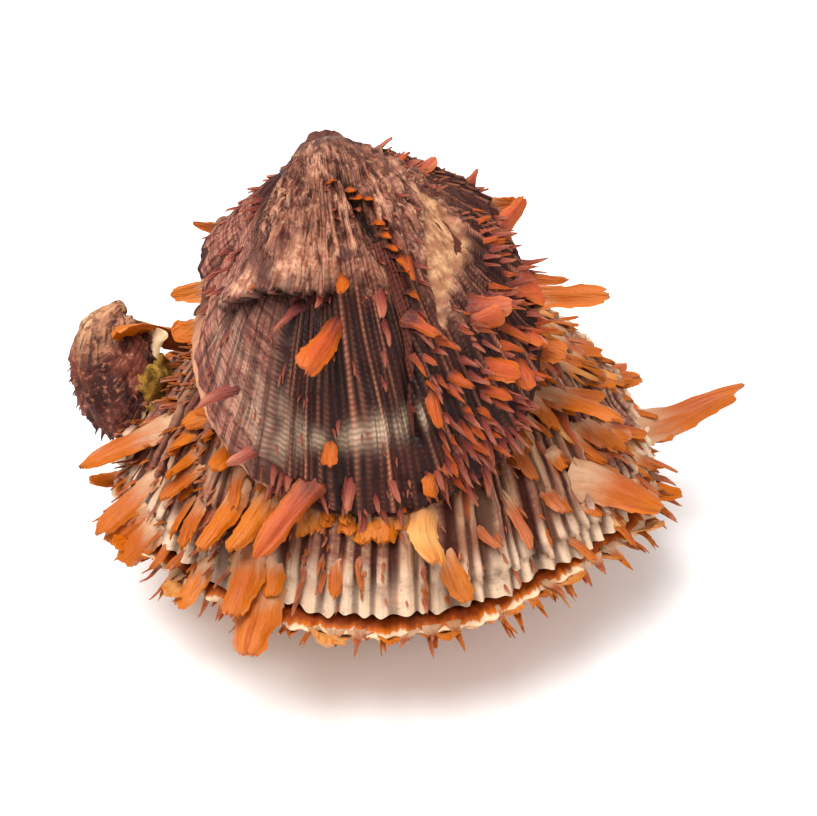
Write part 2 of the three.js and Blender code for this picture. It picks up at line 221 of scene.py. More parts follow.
def grid_normals(points):
    down = np.gradient(points, axis=0)
    over = np.gradient(points, axis=1)
    normal = unit(np.cross(over, down))
    middle = points.mean(axis=1, keepdims=True)
    if ((points - middle) * normal).sum() < 0:
        normal = -normal
    return normal


def cap_rows(ring):
    """Rows that close the beak, from its middle out to the first ring."""
    middle = ring.mean(axis=0)
    return np.stack([middle + (ring - middle) * share for share in (0.02, 0.35, 0.7)])


def valve_surface(name, valve, columns, reaches, relief, thickness, lip=None):
    """The outside with its relief, the rim, and the inside as far as it can be seen through the gape.

    lip is the curl of a nearly level band just inside the margin, where the valve has one.
    """
    piece = Piece(name)
    angle = np.linspace(-np.pi, np.pi, columns + 1)
    angles, spread = np.meshgrid(angle, reaches)
    height, push, fan, values = relief(angles, spread)
    base = valve.point(angles, spread)
    normal = grid_normals(base)
    growth = unit(np.gradient(base, axis=0))
    outer = base + normal * height[..., None] + growth * push[..., None]
    outer[..., 2] = np.maximum(outer[..., 2], OUTSIDE_LEAST)
    outer = np.concatenate([cap_rows(outer[0]), outer])
    padded = {key: np.concatenate([value[:1]] * 3 + [value]) for key, value in values.items()}
    fan = np.concatenate([fan[:1]] * 3 + [fan])
    spread = np.concatenate([spread[:1]] * 3 + [spread])
    piece.grid(outer, fan=fan, grow=spread, **padded)
    rows = INSIDE_ROWS
    shares = np.linspace(0, 1, rows)[:, None]
    last_angle = np.broadcast_to(angle, (rows, columns + 1))
    inner_reach = 1 - INSIDE_DEPTH * shares**1.6 + 0 * last_angle
    curl = valve.curl if lip is None else lip + (valve.curl - lip) * smooth(0.06, 0.24, 1 - inner_reach)
    inside = valve.point(last_angle, inner_reach, curl)
    rim = outer[-1] - valve.point(angle, 1.0)
    wall = thickness * (0.15 + 0.85 * smooth(0.02, 0.3, shares))
    inside = inside - grid_normals(inside) * (wall + 0 * last_angle)[..., None]
    inside = inside + rim * (1 - smooth(0.0, 0.22, shares))[..., None]
    inside[..., 2] = np.maximum(inside[..., 2], INSIDE_LEAST)
    strip = np.concatenate([outer[-1:], inside])
    depth_value = np.concatenate([np.zeros((1, columns + 1)), np.ones((rows, columns + 1))])
    piece.grid(
        strip,
        fan=np.broadcast_to(fan[-1], (rows + 1, columns + 1)),
        grow=np.concatenate([np.ones((1, columns + 1)), inner_reach]),
        inside=depth_value,
        crest=np.broadcast_to(values["crest"][-1], (rows + 1, columns + 1)),
        pale=np.broadcast_to(values.get("pale", np.zeros_like(height))[-1], (rows + 1, columns + 1)),
    )
    return piece


def reach_rows(count, first=0.07):
    """Rows from the beak to the margin, closer together near the margin."""
    t = np.linspace(0, 1, count)
    return first + (1 - first) * (1 - (1 - t) ** 1.25)


def flat_map(angle, reach, size):
    """The valve seen flat: millimetres to the right and to the front of the beak."""
    return size * reach * np.sin(angle), size * reach * np.cos(angle)


def stroke(angle, reach, size, path):
    """How much of a mark lies here, from 0 to 1. path holds (angle in degrees, reach, half width in mm)."""
    x, y = flat_map(angle, reach, size)
    best = np.zeros_like(x)
    for (a0, r0, w0), (a1, r1, w1) in zip(path[:-1], path[1:]):
        x0, y0 = flat_map(math.radians(a0), r0, size)
        x1, y1 = flat_map(math.radians(a1), r1, size)
        length = max((x1 - x0) ** 2 + (y1 - y0) ** 2, 1e-9)
        t = np.clip(((x - x0) * (x1 - x0) + (y - y0) * (y1 - y0)) / length, 0, 1)
        off = np.hypot(x - x0 - t * (x1 - x0), y - y0 - t * (y1 - y0))
        best = np.maximum(best, np.exp(-((off / (w0 + t * (w1 - w0))) ** 2)))
    return best


def rib_number(angle, reach, count, jitter, seed):
    """Ribs counted round the valve: whole numbers on the crests, with an uneven pitch."""
    wander = jitter * noise(angle * count / 8, seed) + 0.4 * jitter * noise(angle * 7, reach * 5, seed)
    return count * angle / (2 * np.pi) + 0.35 * wander


def crest_of(number):
    return 0.5 + 0.5 * np.cos(2 * np.pi * number)


HOST_RIBS = 84
HOST_LOWER_RIBS = 76
YOUNG_RIBS = 40
YOUNG_LOWER_RIBS = 48
JUVENILE_RIBS = 30
HOST_STEPS = (0.957, 0.89, 0.80, 0.70, 0.58, 0.46)
OUTER_STEP = 1.7


def growth_steps(angle, reach, steps, crest, height, fade, seed):
    """Low terraces left by pauses in growth: each rises slowly and drops at its scalloped edge."""
    total = 0
    for k, step in enumerate(steps):
        edge = step + 0.008 * crest + 0.012 * noise(angle * 3, k + seed) + 0.006 * noise(angle * 33, k + seed)
        before = np.exp(-np.clip(edge - reach, 0, 1) / fade) * (reach < edge)
        swing = 0.75 + 0.5 * noise(angle * 2.3, 5 * k + seed)
        total = total + (OUTER_STEP if k == 0 else 1) * height * before * swing
    return total


def host_upper_relief(angle, reach):
    number = rib_number(angle, reach, HOST_RIBS, 1.7, 3.3)
    crest = crest_of(number)
    x, y = flat_map(angle, reach, HOST_UPPER_FLAT)
    depth = smooth(0.1, 0.85, reach)
    strong = 0.8 + 0.7 * noise(number / 2.2, 3.0) + 0.3 * noise(number / 2, reach * 5, 8)
    fine = crest_of(number * 3 + 0.3 * noise(reach * 9, number / 2))
    height = depth * (strong * 1.25 * crest**0.75 + 0.22 * fine)
    steps = growth_steps(angle, reach, HOST_STEPS, crest, 0.8, 0.03, 1.0)
    scale = (reach * 15 + 3 * noise(np.floor(number + 0.5) * 7.3, 2.0)) % 1.0
    scales = 0.9 * crest**2 * scale**3 * depth * smooth(-0.3, 0.4, noise(number / 3, reach * 4, 11))
    height = height + steps + scales
    height = height + 1.2 * noise(x / 14, y / 14, 4) + 0.7 * noise.rough(x / 4, y / 4, 2)
    rim = smooth(0.95, 1, reach)
    teeth = 0.9 * crest + 1.1 * noise(number / 1.6, 6.0) + 0.7 * np.maximum(0, noise(number * 1.3, 2.0)) - 0.6
    pale = smooth(0.93, 0.99, reach + 0.02 * noise(angle * 25, 1.5))
    pale = np.maximum(pale, 0.8 * smooth(0.92, 0.955, reach) * (reach < 0.96) * smooth(0.2, 0.6, crest))
    return height, 0.8 * steps + rim * teeth, number, {"crest": crest, "pale": pale}


def host_lower_relief(angle, reach):
    number = rib_number(angle, reach, HOST_LOWER_RIBS, 1.0, 5.7)
    crest = crest_of(number)
    x, y = flat_map(angle, reach, HOST_LOWER_FLAT)
    depth = smooth(0.3, 1.0, reach)
    height = depth * 0.9 * crest**0.8
    steps = growth_steps(angle, reach, (0.95, 0.88, 0.81, 0.73, 0.64), crest, 0.9, 0.03, 4.0)
    height = height + steps + 0.9 * noise(x / 11, y / 11, 12) + 0.4 * noise.rough(x / 3, y / 3, 5)
    height = height * (1 - 0.6 * smooth(0.96, 1.0, reach))
    rim = smooth(0.93, 1, reach)
    teeth = 2.0 * noise(number / 2.4, 3.0) + 1.7 * noise(number / 0.8, 8.0) + 0.8 * crest - 0.4
    return height, 0.5 * steps + rim * teeth, number, {"crest": crest, "pale": smooth(0.8, 1.0, reach)}


# The edge of the worn ledge on the young oyster: angle in degrees, reach
LEDGE = ((-95, 0.78), (-77, 0.69), (-61, 0.60), (-45, 0.555), (-34, 0.55), (-22, 0.54), (-8, 0.55))

# Marks on the young oyster: angle in degrees, reach, half width in mm
# The groove is cut into the shell and also painted dark, as painted shade in it
DARK_GROOVE = (
    (6, 0.27, 0.8), (14, 0.33, 1.2), (20, 0.39, 1.5), (25, 0.45, 1.9), (27, 0.51, 2.2),
    (26, 0.58, 2.1), (23, 0.66, 1.8), (18, 0.75, 1.5), (14, 0.84, 1.1),
)
BARE_SCAR = (
    (86, 0.52, 3.4), (90, 0.57, 4.4), (76, 0.57, 3.6), (58, 0.58, 2.2), (48, 0.62, 1.3), (42, 0.67, 0.8),
)
PALE_BAND = (
    (-88, 0.86, 1.0), (-72, 0.87, 1.2), (-59, 0.88, 1.6), (-48, 0.87, 2.4), (-38, 0.86, 2.4),
    (-30, 0.855, 1.5), (-22, 0.85, 0.7), (-12, 0.84, 1.0), (-2, 0.83, 1.3), (9, 0.82, 1.2), (20, 0.82, 0.9),
)
PALE_FLANK = (
    (-98, 0.80, 2.0), (-80, 0.78, 2.0), (-63, 0.77, 1.6), (-54, 0.79, 1.4), (-48, 0.82, 1.2),
    (-40, 0.84, 1.0),
)
CHALK_PATCH = ((-80, 0.67, 1.3), (-72, 0.62, 1.3), (-64, 0.58, 0.9))
CREAM_LEDGE = ((-50, 0.52, 0.8), (-40, 0.50, 1.4), (-28, 0.47, 2.1), (-18, 0.47, 1.6), (-10, 0.49, 0.8))
TEAR = ((-96, 0.84, 0.3), (-86, 0.78, 0.4), (-80, 0.73, 0.3))


def young_upper_relief(angle, reach):
    size = YOUNG_FLAT
    x, y = flat_map(angle, reach, size)
    degrees = np.degrees(angle)
    number = rib_number(angle, reach, YOUNG_RIBS, 1.3, 2.2)
    main = crest_of(number)
    edge = smooth(0.2, 0.95, reach)
    worn = smooth(0.57, 0.46, reach + 0.05 * noise(x / 5, y / 5, 3)) * smooth(-105, -70, degrees)
    worn = worn * (1 - smooth(120, 150, degrees))
    flank = smooth(28, 50, degrees) * (1 - smooth(100, 130, degrees)) * smooth(0.78, 0.6, reach)
    worn = np.maximum(worn, 0.75 * flank)
    ledge = np.interp(degrees, [p[0] for p in LEDGE], [p[1] for p in LEDGE])
    ledge = ledge + 0.012 * noise(degrees / 4, 2.5) + 0.008 * noise(degrees / 1.3, 6.0)
    window = smooth(-98, -84, degrees) * (1 - smooth(-20, -6, degrees))
    rise = window * np.exp(-np.clip(ledge - reach, 0, 1) / 0.08) * (reach <= ledge)
    drop = window * np.exp(-np.clip(reach - ledge, 0, 1) / 0.07) * (reach > ledge)
    groove = stroke(angle, reach, size, DARK_GROOVE)
    scar = smooth(0.2, 0.55, stroke(angle, reach, size, BARE_SCAR) + 0.12 * noise(x / 2, y / 2, 41))
    smooth_flank = smooth(-58, -76, degrees) * smooth(0.55, 0.68, reach)
    height = (0.15 + 0.7 * main + 0.22 * crest_of(3 * number)) * edge * (1 - 0.75 * smooth_flank) * (1 - scar)
    height = height + 3.2 * rise - 1.8 * drop - 2.6 * groove
    rough = noise.rough(x / 1.7, y / 1.7, 6)
    pits = np.minimum(0, noise(x / 1.3, y / 1.3, 21) + 0.35)
    knobbly = noise.rough(x / 1.15, y / 1.6, 16)
    lumps = 0.75 * rough + 1.5 * pits + 0.9 * noise(x / 4, y / 4, 31) + 0.8 * knobbly
    height = height + worn * (1 - scar) * smooth(0.1, 0.3, reach) * lumps
    height = height + 0.8 * noise(x / 9, y / 9, 1) + 0.12 * noise.rough(x / 1.5, y / 1.5, 2)
    height = height + scar * (0.25 * noise(x / 2, y / 2, 5) - 0.5)
    steps = growth_steps(angle, reach, (0.93, 0.845, 0.76, 0.68), main, 0.5, 0.03, 9.0) * (1 - scar)
    height = height + steps
    ear = smooth(-100, -122, degrees) * smooth(-165, -140, degrees) * smooth(0.6, 0.9, reach)
    height = height + 0.8 * ear * noise(x / 3, y / 3, 2)
    teeth = 0.7 * main - 0.2 + 0.7 * noise(number / 1.5, 4.0) + 0.5 * noise(number * 1.4, 9.0)
    push = smooth(0.95, 1, reach) * teeth + 1.3 * rise**2 + 0.5 * steps
    patchy = 0.6 + 0.5 * noise(x / 2.2, y / 2.2, 8)
    band = stroke(angle, reach, size, PALE_BAND)
    pale = np.maximum(band, 0.6 * stroke(angle, reach, size, PALE_FLANK)) * patchy
    cream = stroke(angle, reach, size, CREAM_LEDGE) * (0.65 + 0.6 * noise(x / 1.6, y / 1.6, 12))
    cream = np.maximum(cream, stroke(angle, reach, size, CHALK_PATCH))
    patches = 0.2 + 0.8 * smooth(-0.3, 0.4, noise(x / 4.2, y / 4.2, 51))
    cream = np.maximum(cream, 0.7 * worn * patches * smooth(0.2, 0.6, knobbly + 0.35 * rough))
    # dark: painted shade in the groove, under the ledge's overhang, where the shell is also a dark maroon of
    # its own, and in the worn part's pits; along the tear it is a dark line
    dark = np.maximum(groove, 0.9 * drop)
    dark = np.maximum(dark, stroke(angle, reach, size, TEAR))
    dark = np.maximum(dark, 0.6 * worn * smooth(0.1, 0.45, -pits))
    light_side = smooth(-34, -62, degrees) * smooth(0.5, 0.62, reach)
    marks = {"wear": worn, "pale": pale, "dark": dark, "cream": cream, "scar": scar, "flank": light_side}
    return height, push, number, {"crest": main, **{key: np.clip(mark, 0, 1) for key, mark in marks.items()}}


def young_lower_relief(angle, reach):
    number = rib_number(angle, reach, YOUNG_LOWER_RIBS, 1.0, 7.7)
    crest = crest_of(number)
    x, y = flat_map(angle, reach, YOUNG_FLAT)
    degrees = np.degrees(angle)
    height = 0.8 * crest * smooth(0.15, 0.7, reach)
    height = height + 0.9 * noise(x / 8, y / 8, 3) + 0.7 * noise.rough(x / 3, y / 3, 2)
    steps = growth_steps(angle, reach, (0.94, 0.87, 0.78, 0.66, 0.54, 0.42, 0.31), crest, 1.0, 0.03, 6.0)
    height = (height + steps) * (1 - 0.8 * smooth(0.94, 1.0, reach))
    left = smooth(-115, -90, degrees) * (1 - smooth(-45, -30, degrees))
    push = smooth(0.93, 1, reach) * (0.5 * noise(angle * 20, 3.0) + 0.3 * noise(angle * 60, 5.0) + 0.3 * left)
    return height, push, number, {"crest": crest, "pale": left * smooth(0.93, 0.98, reach)}


LEVEL = (0, -1, 0)
YOUNG_GROWTH = (
    math.sin(math.radians(YOUNG_TURN)) * math.cos(math.radians(YOUNG_TILT)),
    -math.cos(math.radians(YOUNG_TURN)) * math.cos(math.radians(YOUNG_TILT)),
    -math.sin(math.radians(YOUNG_TILT)),
)
YOUNG_OUTWARD = np.array([0, -0.56, 0.83])

host_upper = Valve(
    (-5, 60, HOST_RIM_HEIGHT), LEVEL, (0, 0, 1), 57.5, 48, 60, 57, 0.97, fullness=0.75,
    lobes=((40, 20, -0.075), (-100, 25, 0.02), (-154, 13, 0.24), (154, 13, 0.24)),
)
host_lower = Valve(
    (-5, 60, HOST_RIM_HEIGHT - HOST_GAPE), LEVEL, (0, 0, -1), 59.5, 51.5, 60, 57, 0.85, fullness=0.75,
    lobes=((40, 20, -0.075), (-154, 13, 0.26), (154, 13, 0.26)),
)
young_upper = Valve(
    YOUNG_HINGE, YOUNG_GROWTH, YOUNG_OUTWARD,
    35, 36, 42.1, 41, 0.76, side=3.3, fullness=0.9, lobes=YOUNG_LOBES,
)
young_lower = Valve(
    np.array(YOUNG_HINGE) - YOUNG_GAPE * young_upper.out, YOUNG_GROWTH, -YOUNG_OUTWARD,
    36, 36.8, 42.1, 41, 1.25, side=3.3, fullness=0.9, lobes=YOUNG_LOBES,
)
juvenile_upper = Valve(
    JUVENILE_HINGE, JUVENILE_GROWTH, JUVENILE_OUTWARD,
    12.3, 13.5, 13.5, 12.5, 1.25, fullness=0.8, lobes=((-70, 24, 0.08), (75, 22, -0.06)),
)
juvenile_lower = Valve(
    np.array(JUVENILE_HINGE) - JUVENILE_GAPE * juvenile_upper.out, JUVENILE_GROWTH, -JUVENILE_OUTWARD,
    12.3, 13.5, 13.5, 12.5, 0.35, fullness=0.8, lobes=((152, 22, 1.0),),
)


USUAL_BEND_AND_TAPER = (0.02, 0.4)
# The least length in mm of a blade, and its rows and columns
BLADE_GRIDS = ((12, (28, 13)), (7, (15, 7)), (4.5, (10, 5)), (0, (7, 5)))


def spine(piece, valve, row, seed, ragged=0.08):
    """One blade: it leaves the shell low, rises to its tip, and has splintered sides and a ragged end."""
    angle, reach, length, width, yaw, lift, colour, *rest = row
    bend, taper = (*rest, *USUAL_BEND_AND_TAPER[len(rest) :])
    point, growth, sideways, normal = valve.frame_at(math.radians(angle), min(reach, 0.997))
    yaw, lift = math.radians(yaw), math.radians(lift)
    flat = math.cos(yaw) * growth + math.sin(yaw) * sideways
    chord = math.cos(lift) * flat + math.sin(lift) * normal
    top = unit(normal - np.dot(normal, chord) * chord)
    wide = np.cross(chord, top)
    rows, columns = next(size for least, size in BLADE_GRIDS if length > least)
    along, across = np.meshgrid(np.linspace(0, 1, rows), np.linspace(-1, 1, columns), indexing="ij")
    teeth = 0.5 + 0.5 * noise(across * 1.8, seed * 3.7) + 0.4 * noise(across * 6, seed)
    run = along * (1 - ragged * teeth - 0.05 * across**2)
    root = min(2.4, 0.25 * length) / length
    side = np.sign(across)
    splinter = (run * 4.3 + 0.9 * noise(run * 2, seed, side) + 0.37 * side) % 1.0
    edge = 0.20 * noise(run * 4, side * 3, seed) + 0.16 * (splinter**3 - 0.3)
    point_share = (1 - smooth(6.0, 13.0, length)) * (1 - smooth(3.0, 5.0, width))
    tapering = np.maximum(1.02 - run, 0.01) ** 0.6
    rounding = (1 - 0.4 * smooth(0.8, 1.0, run)) * (1 - point_share) + point_share * tapering
    flare = 0.5 - 0.4 * smooth(5.0, 8.5, width)
    share = (1 + taper * (0.5 - run) + flare * smooth(0.3, 0.0, run)) * rounding
    half = 0.5 * width * share * (1 + edge * np.abs(across))
    arch = 0.42 * width * (1 - 0.65 * run)
    ridges = 0.07 * width * noise(across * 3.0, run * 1.5, seed)
    ridges = ridges + 0.03 * width * noise(across * 8, run * 3, seed + 3)
    sag = 1.2 * math.sin(lift) * length * run * (1 - run) ** 2
    twist = 0.5 * noise(seed * 1.9, 9.0) * run
    sink = (0.14 * width + 0.3) * smooth(0.22, 0.0, run)
    height = bend * length * 4 * run * (1 - run) - sag + arch * (1 - across**2)
    height = height + ridges + twist * half * across - sink
    drift = 0.07 * length * noise(run * 1.6, seed + 1.5) * smooth(0, 0.4, run)
    centre = point + chord * (length * (run * (1 + root) - root))[..., None]
    centre = centre + wide * (half * across + drift)[..., None]
    upper = centre + top * height[..., None]
    thick = (0.13 * width + 0.16) * (1 - across**4 * 0.85) * (1 - 0.45 * run)
    lower = upper - top * (thick + 0.45 * arch * (1 - across**2))[..., None]
    upper[..., 2] = np.maximum(upper[..., 2], BLADE_TOP_LEAST)
    lower[..., 2] = np.maximum(lower[..., 2], BLADE_UNDERSIDE_LEAST)
    values = {"along": run, "across": across, "tint": colour, "fan": seed * 1.37, "grow": length}
    piece.grid(upper, **values)
    piece.grid(lower, flip=True, inside=1.0, **values)
    piece.grid(np.stack([upper[-1], lower[-1]]), **{**values, "along": 1.0, "across": across[:2]})
    for column in (0, -1):
        wall = np.stack([upper[:, column], lower[:, column]])
        piece.grid(wall, **{**values, "along": np.stack([run[:, column]] * 2), "across": 1.0})


def spines(piece, valve, rows, seed):
    for number, row in enumerate(rows):
        spine(piece, valve, row, seed + number)


# angle, reach, length, width, yaw, lift, colour (0 pink to 1 yellow) and, where they aren't the usual ones,
# bend and how much wider the root is
HOST_UPPER_SPINES = (
    (-103, 0.71, 29, 6.8, 36, 33, 0.8, 0.08, 0.6),
    (-72, 0.83, 23, 7, -28, 20, 0.7, 0.05, 0.7),
    (-65, 0.92, 18, 6, -14, 15, 0.7, 0.04),
    (-63, 0.97, 12.3, 5, -30, 10, 0.6, 0.03),
    (-59, 0.99, 10, 6.5, -20, 8, 0.68),
    (-52, 0.98, 8, 3.2, 0, 20, 0.7),
    (-45, 0.97, 7, 4, -24, 20, 0.6),
    (-41, 0.99, 10.4, 5, -3, 20, 0.85),
    (-52, 0.76, 9, 6, -48, 18, 0.85, 0.05),
    (-47, 0.77, 8.7, 4.4, -90, 22, 0.8, 0.03),
    (-42, 0.79, 11.6, 5, 4, 30, 0.75, 0.03),
    (-36, 0.85, 19.8, 5.8, -4, 25, 0.8, 0.05),
    (-29, 0.85, 17.5, 5.4, -9, 25, 0.85, 0.05),
    (-30, 0.94, 18, 7, 8, 30, 0.6, 0.06),
    (-25, 0.98, 18, 8.5, 7, 32, 0.72, 0.05),
    (-24, 0.95, 8.2, 5.2, 13, 25, 0.8),
    (-10, 0.93, 8.7, 3.8, 4, 20, 0.6),
    (-5, 0.91, 9.7, 2.2, 6, 15, 0.45),
    (0, 0.91, 8, 1.8, -1, 15, 0.35),
    (4, 0.93, 4.6, 1.8, -4, 15, 0.4),
    (9, 0.84, 22, 5.6, 2, 36, 0.97, 0.03, 0.05),
    (14, 0.93, 11.6, 5.6, 12, 25, 0.85, 0.03),
    (17, 0.91, 6.3, 2.2, 7, 20, 0.3),
    (20, 0.89, 9.6, 2.8, 34, 25, 0.4, 0.06),
    (26, 0.9, 6, 2.2, 10, 20, 0.4),
    (31, 0.87, 14, 3, 6, 20, 0.4, 0.08),
    (38, 0.8, 10.5, 3.6, 11, 15, 0.45, 0.04),
    (44, 0.88, 9, 4.2, 5, 30, 0.4, 0.03),
    (56, 0.89, 18.8, 9.5, 43, 20, 0.6, 0.03),
    (66, 0.88, 5.6, 3, 62, 25, 0.3),
    (56, 0.73, 21.5, 5.4, 18, 35, 0.75, 0.08),
    (63, 0.75, 9.9, 4, 57, 30, 0.7, 0.03),
    (89, 0.69, 11, 6.2, 70, 20, 0.7),
    (78, 0.86, 9, 4, 40, 30, 0.6),
    (95, 0.93, 29, 9, 59, 48, 0.5, -0.08, 0.95),
    (114, 0.94, 8, 4, 80, 30, 0.45),
)

HOST_LOWER_SPINES = (
    (-62, 0.97, 9, 5, -10, 10, 0.8),
    (-44, 0.98, 9, 6, 0, 6, 0.95),
    (-18, 0.97, 6, 3, 0, 10, 0.5),
    (-11, 0.98, 7, 8, 0, 0, 0.97),
    (-3, 0.98, 5.5, 2.4, 0, 0, 0.5),
    (1, 0.98, 6, 5, 0, 4, 0.8),
    (8, 0.98, 6, 2.4, 2, 0, 0.5),
    (12, 0.98, 7, 6, 4, 4, 0.85),
    (20, 0.98, 5, 3, 4, 0, 0.6),
    (27, 0.98, 6, 5.5, 6, 0, 0.9),
    (35, 0.98, 6.5, 3.6, 8, 0, 0.7),
    (43, 0.98, 7, 5.5, 10, 0, 0.9),
    (55, 0.98, 6, 3, 10, 10, 0.9),
    (68, 0.98, 7, 7, 16, 6, 0.97),
    (80, 0.97, 9, 5, 10, 14, 0.8),
    (-85, 0.96, 10, 5, -10, 12, 0.7),
    (-108, 0.95, 12, 5, -10, 14, 0.7),
    (-132, 0.92, 9, 4.5, -10, 20, 0.7),
    (100, 0.95, 10, 5, 10, 14, 0.7),
    (122, 0.93, 11, 5, 10, 18, 0.7),
)

YOUNG_UPPER_SPINES = (
    (-63, 0.86, 8.7, 3.4, -39, 35, 0.3),
    (-43, 0.91, 10, 3.2, -53, 30, 0.3),
    (-22, 0.93, 22, 5.2, -39, 35, 0.6, 0.05),
    (-19, 0.84, 6.6, 4.0, 5, 30, 0.8, 0.02, -0.6),
    (-11, 0.6, 15.8, 4.6, -35, 40, 0.55, 0.06, -0.7),
    (-50, 0.54, 7, 3, -47, 30, 0.6, 0.04),
    (-35, 0.59, 7.4, 2.1, -32, 30, 0.3, 0.08),
    (-20, 0.54, 4.5, 2, -13, 30, 0.25),
    (-7, 0.5, 9, 3.6, 3, 50, 0.75),
    (15, 0.54, 8.8, 2.6, -15, 30, 0.3),
    (12, 0.6, 7.4, 2.2, -3, 25, 0.25),
    (38, 0.51, 10, 4.4, -42, 45, 0.7),
    (28, 0.63, 7, 3.6, 26, 30, 0.5),
    (30, 0.66, 5, 2.2, 9, 22, 0.3),
    (26, 0.78, 8.8, 3.6, -14, 22, 0.7),
    (17, 0.95, 4.8, 4.6, -37, 30, 0.85),
    (1, 0.9, 8.4, 2.7, 12, 30, 0.3),
    (-11, 0.9, 9.5, 2.7, -11, 20, 0.25),
    (-4, 0.95, 5.2, 2.3, 4, 20, 0.25),
    (44, 0.8, 5.8, 2.8, 26, 30, 0.3),
    (37, 0.78, 5.8, 3.4, 24, 35, 0.55),
    (48, 0.86, 6.5, 3.8, 28, 30, 0.55),
    (52, 0.82, 8.6, 5, 34, 30, 0.6),
    (62, 0.82, 7.2, 2.9, 32, 30, 0.5),
    (72, 0.83, 7.6, 3.3, 5, 30, 0.6),
    (61, 0.72, 9.2, 5.5, 59, 40, 0.4),
    (57, 0.74, 7.5, 5.2, 84, 40, 0.45),
    (68, 0.93, 7, 5, -38, 30, 0.65),
    (82, 0.95, 5.8, 5, -28, 40, 0.65),
    (50, 0.71, 4, 3, 19, 30, 0.4),
    (118, 0.94, 9.8, 4.4, 74, 35, 0.5, -0.08),
    (138, 0.94, 5, 3.2, 62, 45, 0.4),
    (135, 0.59, 5, 4.6, 31, 40, 0.4),
    (127, 0.4, 4.6, 3.2, 49, 40, 0.45),
    (101, 0.97, 8.5, 7, -7, 14, 0.45),
    (-150, 0.6, 6, 3, -20, 40, 0.3),
    (165, 0.6, 7, 3.4, 10, 40, 0.35),
)

YOUNG_LOWER_SPINES = (
    (-99, 0.97, 6, 5, -10, 40, 0.8),
    (-112, 0.97, 8, 4.5, -20, 44, 0.85),
    (96, 0.97, 20, 5, 18, 15, 0.7, -0.06),
    (103, 0.97, 10, 2.6, 10, 30, 0.7),
    (80, 0.96, 8, 5, 10, 30, 0.7),
    (128, 0.95, 8, 4.5, 10, 40, 0.6),
    (-135, 0.95, 6, 3.5, -10, 40, 0.6),
)

# Small spines on the ribs: angles, reaches, how many, lengths, widths, lifts, yaw, colours
HOST_SCALES = (
    ((-100, -36), (0.60, 0.98), 240, (3.0, 7.4), (1.0, 2.2), (24, 50), -14, (0.0, 0.6)),
    ((-40, 40), (0.72, 0.98), 170, (3.0, 7.4), (0.9, 1.9), (18, 40), 2, (0.1, 0.5)),
    ((-30, 8), (0.80, 0.87), 26, (4.0, 7.5), (3.2, 6.0), (14, 30), 0, (0.72, 0.9)),
    ((-62, -20), (0.72, 0.93), 16, (8.0, 16.0), (2.2, 4.4), (16, 34), -16, (0.55, 0.85)),
    ((40, 115), (0.50, 0.97), 110, (3.5, 10.5), (1.8, 5.0), (10, 32), 16, (0.35, 0.97)),
    ((110, 250), (0.35, 0.97), 110, (3.0, 7.5), (1.2, 3.0), (12, 38), 0, (0.25, 0.75)),
)
HOST_LOWER_SCALES = (
    ((-75, 85), (0.985, 1.0), 85, (3.5, 8.0), (0.9, 2.6), (16, 58), 0, (0.1, 1.0)),
    ((-180, 180), (0.93, 0.99), 110, (2.0, 5.5), (0.9, 2.4), (0, 24), 0, (0.3, 0.95)),
    ((-180, 180), (0.6, 0.92), 150, (3.0, 7.0), (1.2, 3.2), (10, 34), 0, (0.4, 0.85)),
)
YOUNG_SCALES = (
    ((-80, 18), (0.58, 0.97), 60, (2.4, 5.6), (0.6, 1.4), (14, 34), -16, (0.0, 0.34)),
    ((-40, 50), (0.88, 0.99), 55, (4.0, 9.0), (1.3, 2.6), (8, 26), -6, (0.0, 0.34)),
    ((20, 115), (0.60, 0.99), 150, (3.0, 7.2), (1.2, 2.6), (22, 50), 22, (0.0, 0.62)),
    ((25, 150), (0.30, 0.66), 90, (1.8, 4.4), (0.8, 1.8), (22, 50), 20, (0.0, 0.35)),
    ((-60, 30), (0.22, 0.55), 40, (1.0, 2.4), (0.7, 1.4), (18, 50), 0, (0.0, 0.4)),
    ((115, 260), (0.4, 0.97), 60, (1.8, 5.0), (0.9, 2.2), (16, 40), 10, (0.0, 0.35)),
)
JUVENILE_SCALES = (
    ((-120, 60), (0.55, 0.99), 60, (1.5, 3.6), (0.6, 1.4), (16, 44), 0, (0.0, 0.4)),
)

# Stubby spines along the dark groove: angle, reach
KNOBS = (
    (-5, 0.29), (13, 0.32), (18, 0.34), (28, 0.35), (29, 0.41), (30, 0.44), (31, 0.47), (35, 0.53),
    (33, 0.58),
)
KNOB_SHAPE = (3.2, 2.2, 0, 45, 0.75)

SMALL_SPINE_RAGGED = 0.2
CLEAR_AHEAD = 0.02
CLEAR_LIMIT = 0.05


def scatter(piece, valve, groups, rib_count, seed, clear=None):
    """Small spines on the ribs; clear is a mark on the young oyster that stays free of them."""
    rng = np.random.default_rng(seed)
    for (a0, a1), (r0, r1), count, lengths, widths, lifts, yaw, colours in groups:
        for number in range(count):
            angle = round(rng.uniform(a0, a1) / 360 * rib_count) * 360 / rib_count
            reach = min(max(rng.uniform(r0, r1) ** 0.8, r0), r1)
            length, width, lift, colour = (rng.uniform(*pair) for pair in (lengths, widths, lifts, colours))
            turn = yaw * math.sin(math.radians(angle)) + rng.normal(0, 9)
            bend = rng.uniform(-0.02, 0.06)
            taper = rng.uniform(0.2, 1.0)
            row = (angle, reach, length, width, turn, lift, colour, bend, taper)
            if valve.point(np.radians(angle), reach)[..., 2] < SMALL_SPINE_ROOT_LEAST:
                continue
            ahead = np.array([reach + CLEAR_AHEAD])
            if clear and stroke(np.radians([angle]), ahead, YOUNG_FLAT, clear)[0] > CLEAR_LIMIT:
                continue
            spine(piece, valve, row, seed + number * 0.71, SMALL_SPINE_RAGGED)


